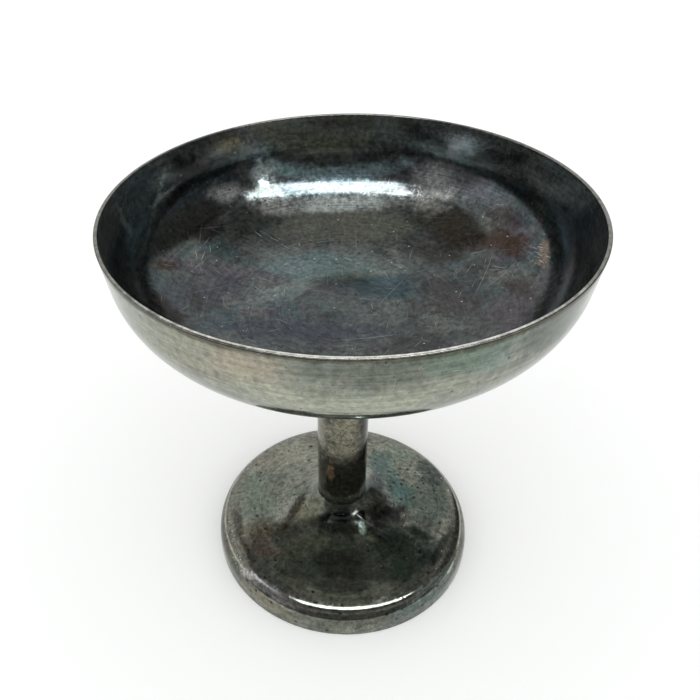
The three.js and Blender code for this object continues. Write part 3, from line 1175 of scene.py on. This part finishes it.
@dataclass
class Foot:
    """The spun foot: a hem, a rounded flank, a low dome and a hollow trumpet up to the stem.

    Attributes:
        radius: its outer radius at the table.
        height: the level of its neck's top.
        neck_radius: the radius of its neck.
        sheet: the thickness of the sheet.
        hem: the width of the hem turned in under it.
        ease: the radius of its bottom edge.
        flank_slope: the flank's slope at the hem, in degrees.
        flank_pull: how far the flank keeps to that slope.
        dome_radius: where the flank meets the dome.
        dome_height: the level there.
        dome_slope: the dome's slope there, in degrees.
        dome_pull: how far the flank's curve keeps to the dome's slope.
        trumpet_pull: how far the trumpet keeps to it.
        neck_slope: the trumpet's slope at the neck, in degrees.
        neck_pull: how far it keeps to that slope.
        rod_hole: the radius of the hole for the rod.
        crest: how far the shoulder stands out where the flank turns over most tightly.
        crest_at: where that is, as a share of the flank's curve.
        crest_width: how wide it is, as a share of that curve.
    """

    radius: float
    height: float
    neck_radius: float
    sheet: float = 1.0 * MM
    hem: float = 3.0 * MM
    ease: float = 0.4 * MM
    flank_slope: float = 88.0
    flank_pull: float = 5.3 * MM
    dome_radius: float = 34.0 * MM
    dome_height: float = 13.5 * MM
    dome_slope: float = 4.0
    dome_pull: float = 18.0 * MM
    trumpet_pull: float = 9.0 * MM
    neck_slope: float = 52.0
    neck_pull: float = 6.0 * MM
    rod_hole: float = 2.8 * MM
    ease_steps: int = 4
    crest: float = 0.18 * MM
    crest_at: float = 0.62
    crest_width: float = 0.062
    flank_steps: int = 72
    trumpet_steps: int = 36
    turn_steps: int = 192

    def side(self, depth: float) -> Outline:
        """Gives one face of the sheet from the hem up to the neck.

        Args:
            depth: the depth below the outer face.

        Returns:
            The points.
        """
        edge = Vector((self.radius, self.sheet))
        dome = Vector((self.dome_radius, self.dome_height))
        neck = Vector((self.neck_radius, self.height))
        flank = Bezier((edge, along(edge, 180 - self.flank_slope, self.flank_pull),
                        along(dome, 180 - self.dome_slope, -self.dome_pull), dome))
        trumpet = Bezier((dome, along(dome, 180 - self.dome_slope, self.trumpet_pull),
                          along(neck, 180 - self.neck_slope, -self.neck_pull), neck))
        shoulder = []
        for step, point in enumerate(traced(flank, self.flank_steps, depth)):
            share = step / self.flank_steps
            heading = flank.heading(share)
            height = self.crest * math.exp(-(((share - self.crest_at) / self.crest_width) ** 2))
            shoulder.append(point + height * Vector((heading.y, -heading.x)))
        return [*shoulder, *traced(trumpet, self.trumpet_steps, depth)[1:]]

    def outline(self) -> Outline:
        """Gives the closed section, from the hem's inner edge out, up and back inside."""
        under_neck = self.height - self.sheet
        inner = [point for point in self.side(self.sheet) if point.y < under_neck]
        last = inner[-1]
        reach = (under_neck - last.y) / math.tan(math.radians(self.neck_slope))
        bottom = Arc(Vector((self.radius - self.ease, self.ease)), self.ease, -90.0, 0.0)
        return [
            Vector((self.radius - self.hem, 0.0)), *traced(bottom, self.ease_steps), *self.side(0.0),
            Vector((self.rod_hole, self.height)), Vector((self.rod_hole, under_neck)),
            Vector((last.x - reach, under_neck)), *reversed(inner), Vector((self.radius - self.hem, self.sheet)),
        ]

    def build(self) -> bpy.types.Object:
        """Makes the foot.

        Returns:
            The foot.
        """
        piece = Shell.spun("foot_shell", self.outline(), self.turn_steps, closed=True)
        Shell.dress(piece, [FOOT.build()], "foot_plate", "foot")
        return piece


@dataclass
class Fixings:
    """The rod, washers, nut, boss and bush, whose solids stay as the frame has them."""

    nodes: dict[str, bpy.types.Object]

    def dress(self) -> None:
        """Gives each fixing its finish."""
        brass = BRASS.build()
        steel = STEEL.build()
        finishes = {
            "bowl_boss": brass,
            "stem_bush": brass,
            "tie_rod": steel,
            "cup_washer": steel,
            "lock_washer": steel,
            "hex_nut": steel,
        }
        for name, finish in finishes.items():
            mesh = self.nodes[name].data
            mesh.materials.clear()
            mesh.materials.append(finish)
            LOG.info("%s dressed", name)


@dataclass
class Studio:
    """The floor, the light and the camera.

    Attributes:
        rim: the level of the bowl's rim.
        radius: the radius of the bowl's rim.
        photo_side: the photograph's width in pixels.
        focal_pixels: the focal length in the photograph's pixels.
        aside: how far the optical centre lies left of the picture's middle, in pixels.
        sensor: the sensor's width in millimetres.
        back: the camera's distance from the axis, as a share of the radius.
        above: its height above the rim, as a share of the radius.
        tilt: how far it looks down, in radians.
        pan: how far it looks to the right.
        roll: how far it is turned about its own axis.
        strip_size: the length and width of the strip light, in metres.
        strip_place: the middle of the strip light above the rim, in metres.
        strip_power: its power in watts.
    """

    rim: float
    radius: float
    photo_side: float = 700.0
    focal_pixels: float = 735.0
    aside: float = 65.5
    sensor: float = 36.0
    back: float = 2.69
    above: float = 1.347
    tilt: float = 0.6619
    pan: float = -0.0806
    roll: float = 0.0148
    strip_size: tuple[float, float] = (1.33, 0.36)
    strip_place: tuple[float, float, float] = (0.205, -0.435, 0.936)
    strip_power: float = 16.5

    def floor(self) -> None:
        """Makes the pale floor."""
        shape = bmesh.new()
        bmesh.ops.create_grid(shape, x_segments=1, y_segments=1, size=6.0)
        mesh = bpy.data.meshes.new("floor")
        shape.to_mesh(mesh)
        shape.free()
        floor = bpy.data.objects.new("floor", mesh)
        floor.location.z = -0.05 * MM
        bpy.context.scene.collection.objects.link(floor)
        material = bpy.data.materials.new("pale_floor")
        material.use_nodes = True
        graph = Graph(material.node_tree)
        grain = graph.noise(graph.millimetres(), 0.5, 3.0)
        colour = graph.mix(grain, (0.93, 0.94, 0.93), (0.95, 0.96, 0.95))
        shown = graph.product(graph.seen(), FLOOR_GLOW)
        shader = graph.add("ShaderNodeBsdfPrincipled", {
            "Base Color": colour, "Roughness": 0.8, "Emission Color": (1.0, 1.0, 1.0), "Emission Strength": shown,
        })
        graph.add("ShaderNodeOutputMaterial", {"Surface": shader.outputs[0]})
        mesh.materials.append(material)
        floor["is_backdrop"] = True

    def sky(self) -> None:
        """Lights everything softly from all round, shows white behind, and lets metal mirror a room.

        The room is white behind the dish, up to a low height and to an edge on the right. It is dark
        overhead, apart from a paler gap in the middle, and dark on the camera's side.
        """
        world = bpy.data.worlds.new("studio")
        bpy.context.scene.world = world
        world.use_nodes = True
        graph = Graph(world.node_tree)
        path = graph.add("ShaderNodeLightPath").outputs
        towards = graph.add("ShaderNodeTexCoord").outputs["Generated"]
        right, away, up = graph.add("ShaderNodeSeparateXYZ", {0: towards}).outputs
        gap = graph.span(graph.math("ABSOLUTE", right), *GAP_EDGE, 1.0 - GAP_SHARE, 1.0)
        overhead = graph.product(graph.span(up, *CEILING_EDGE), gap, CEILING_DIMMING)
        beside = graph.math("MAXIMUM", graph.span(right, *RIGHT_EDGE), graph.span(away, *CAMERA_SIDE_EDGE, 1.0, 0.0))
        dim = graph.math("MAXIMUM", overhead, graph.math("MULTIPLY", beside, DARK_DIMMING))
        mirrored = graph.math("MAXIMUM", path["Is Glossy Ray"], path["Is Transmission Ray"])
        from_front = graph.span(away, -1.0, 1.0, FRONT_LIGHT, -FRONT_LIGHT)
        tilted = graph.math("MULTIPLY", path["Is Diffuse Ray"], from_front)
        strength = graph.math("ADD", graph.math("SUBTRACT", 1.0, graph.product(dim, mirrored)), tilted)
        light = graph.add("ShaderNodeBackground", {"Color": (1.0, 1.0, 1.0), "Strength": strength})
        graph.add("ShaderNodeOutputWorld", {"Surface": light.outputs[0]})

    def strip(self) -> None:
        """Hangs the strip light that shows in the metal as a long bright reflection."""
        light = bpy.data.lights.new("strip", "AREA")
        light.shape = "RECTANGLE"
        light.size, light.size_y = self.strip_size
        light.energy = self.strip_power
        light.color = (0.90, 0.96, 1.0)
        lamp = bpy.data.objects.new("strip", light)
        target = Vector((self.strip_place[0], 0.0, self.rim))
        lamp.location = Vector((0.0, 0.0, self.rim)) + Vector(self.strip_place)
        lamp.rotation_euler = (lamp.location - target).to_track_quat("Z", "Y").to_euler()
        lamp.visible_diffuse = False
        bpy.context.scene.collection.objects.link(lamp)

    def camera(self) -> None:
        """Sets the camera where the photograph was taken from."""
        forward = Vector((0, math.cos(self.tilt), -math.sin(self.tilt)))
        right = Vector((1, 0, 0))
        up = right.cross(forward)
        panned = forward * math.cos(self.pan) + right * math.sin(self.pan)
        right = right * math.cos(self.pan) - forward * math.sin(self.pan)
        rolled = right * math.cos(self.roll) + up * math.sin(self.roll)
        up = up * math.cos(self.roll) - right * math.sin(self.roll)
        turn = Matrix((rolled, up, -panned)).transposed()
        data = bpy.data.cameras.new("camera")
        data.sensor_width = self.sensor
        data.lens = self.focal_pixels / self.photo_side * self.sensor
        data.shift_x = self.aside / self.photo_side
        data.clip_start = 0.01
        camera = bpy.data.objects.new("camera", data)
        spot = Vector((0, -self.back * self.radius, self.rim + self.above * self.radius))
        camera.matrix_world = Matrix.Translation(spot) @ turn.to_4x4()
        bpy.context.scene.collection.objects.link(camera)
        bpy.context.scene.camera = camera

    def build(self) -> None:
        """Makes the floor, the light and the camera."""
        self.floor()
        self.sky()
        self.strip()
        self.camera()
        bpy.context.scene.view_settings.view_transform = "Standard"
        LOG.info("studio set")


def main() -> tuple[tuple[float, ...], tuple[float, ...]]:
    """Builds the dish and the studio.

    Returns:
        The frame's own box, before anything is dressed.
    """
    logging.basicConfig(level=logging.INFO)
    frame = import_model()
    solid_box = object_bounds()
    bowl_low, bowl_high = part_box("bowl")
    stem_low, stem_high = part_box("stem_tube")
    foot_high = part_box("foot")[1]
    Bowl(radius=bowl_high[0], bottom=bowl_low[2], rim=bowl_high[2]).build()
    Stem(radius=stem_high[0], bottom=stem_low[2], top=stem_high[2]).build()
    Foot(radius=foot_high[0], height=foot_high[2], neck_radius=stem_high[0] + NECK_MARGIN).build()
    Fixings(frame["nodes"]).dress()
    Studio(rim=bowl_high[2], radius=bowl_high[0]).build()
    return solid_box


if __name__ == "__main__":
    frame_box = main()
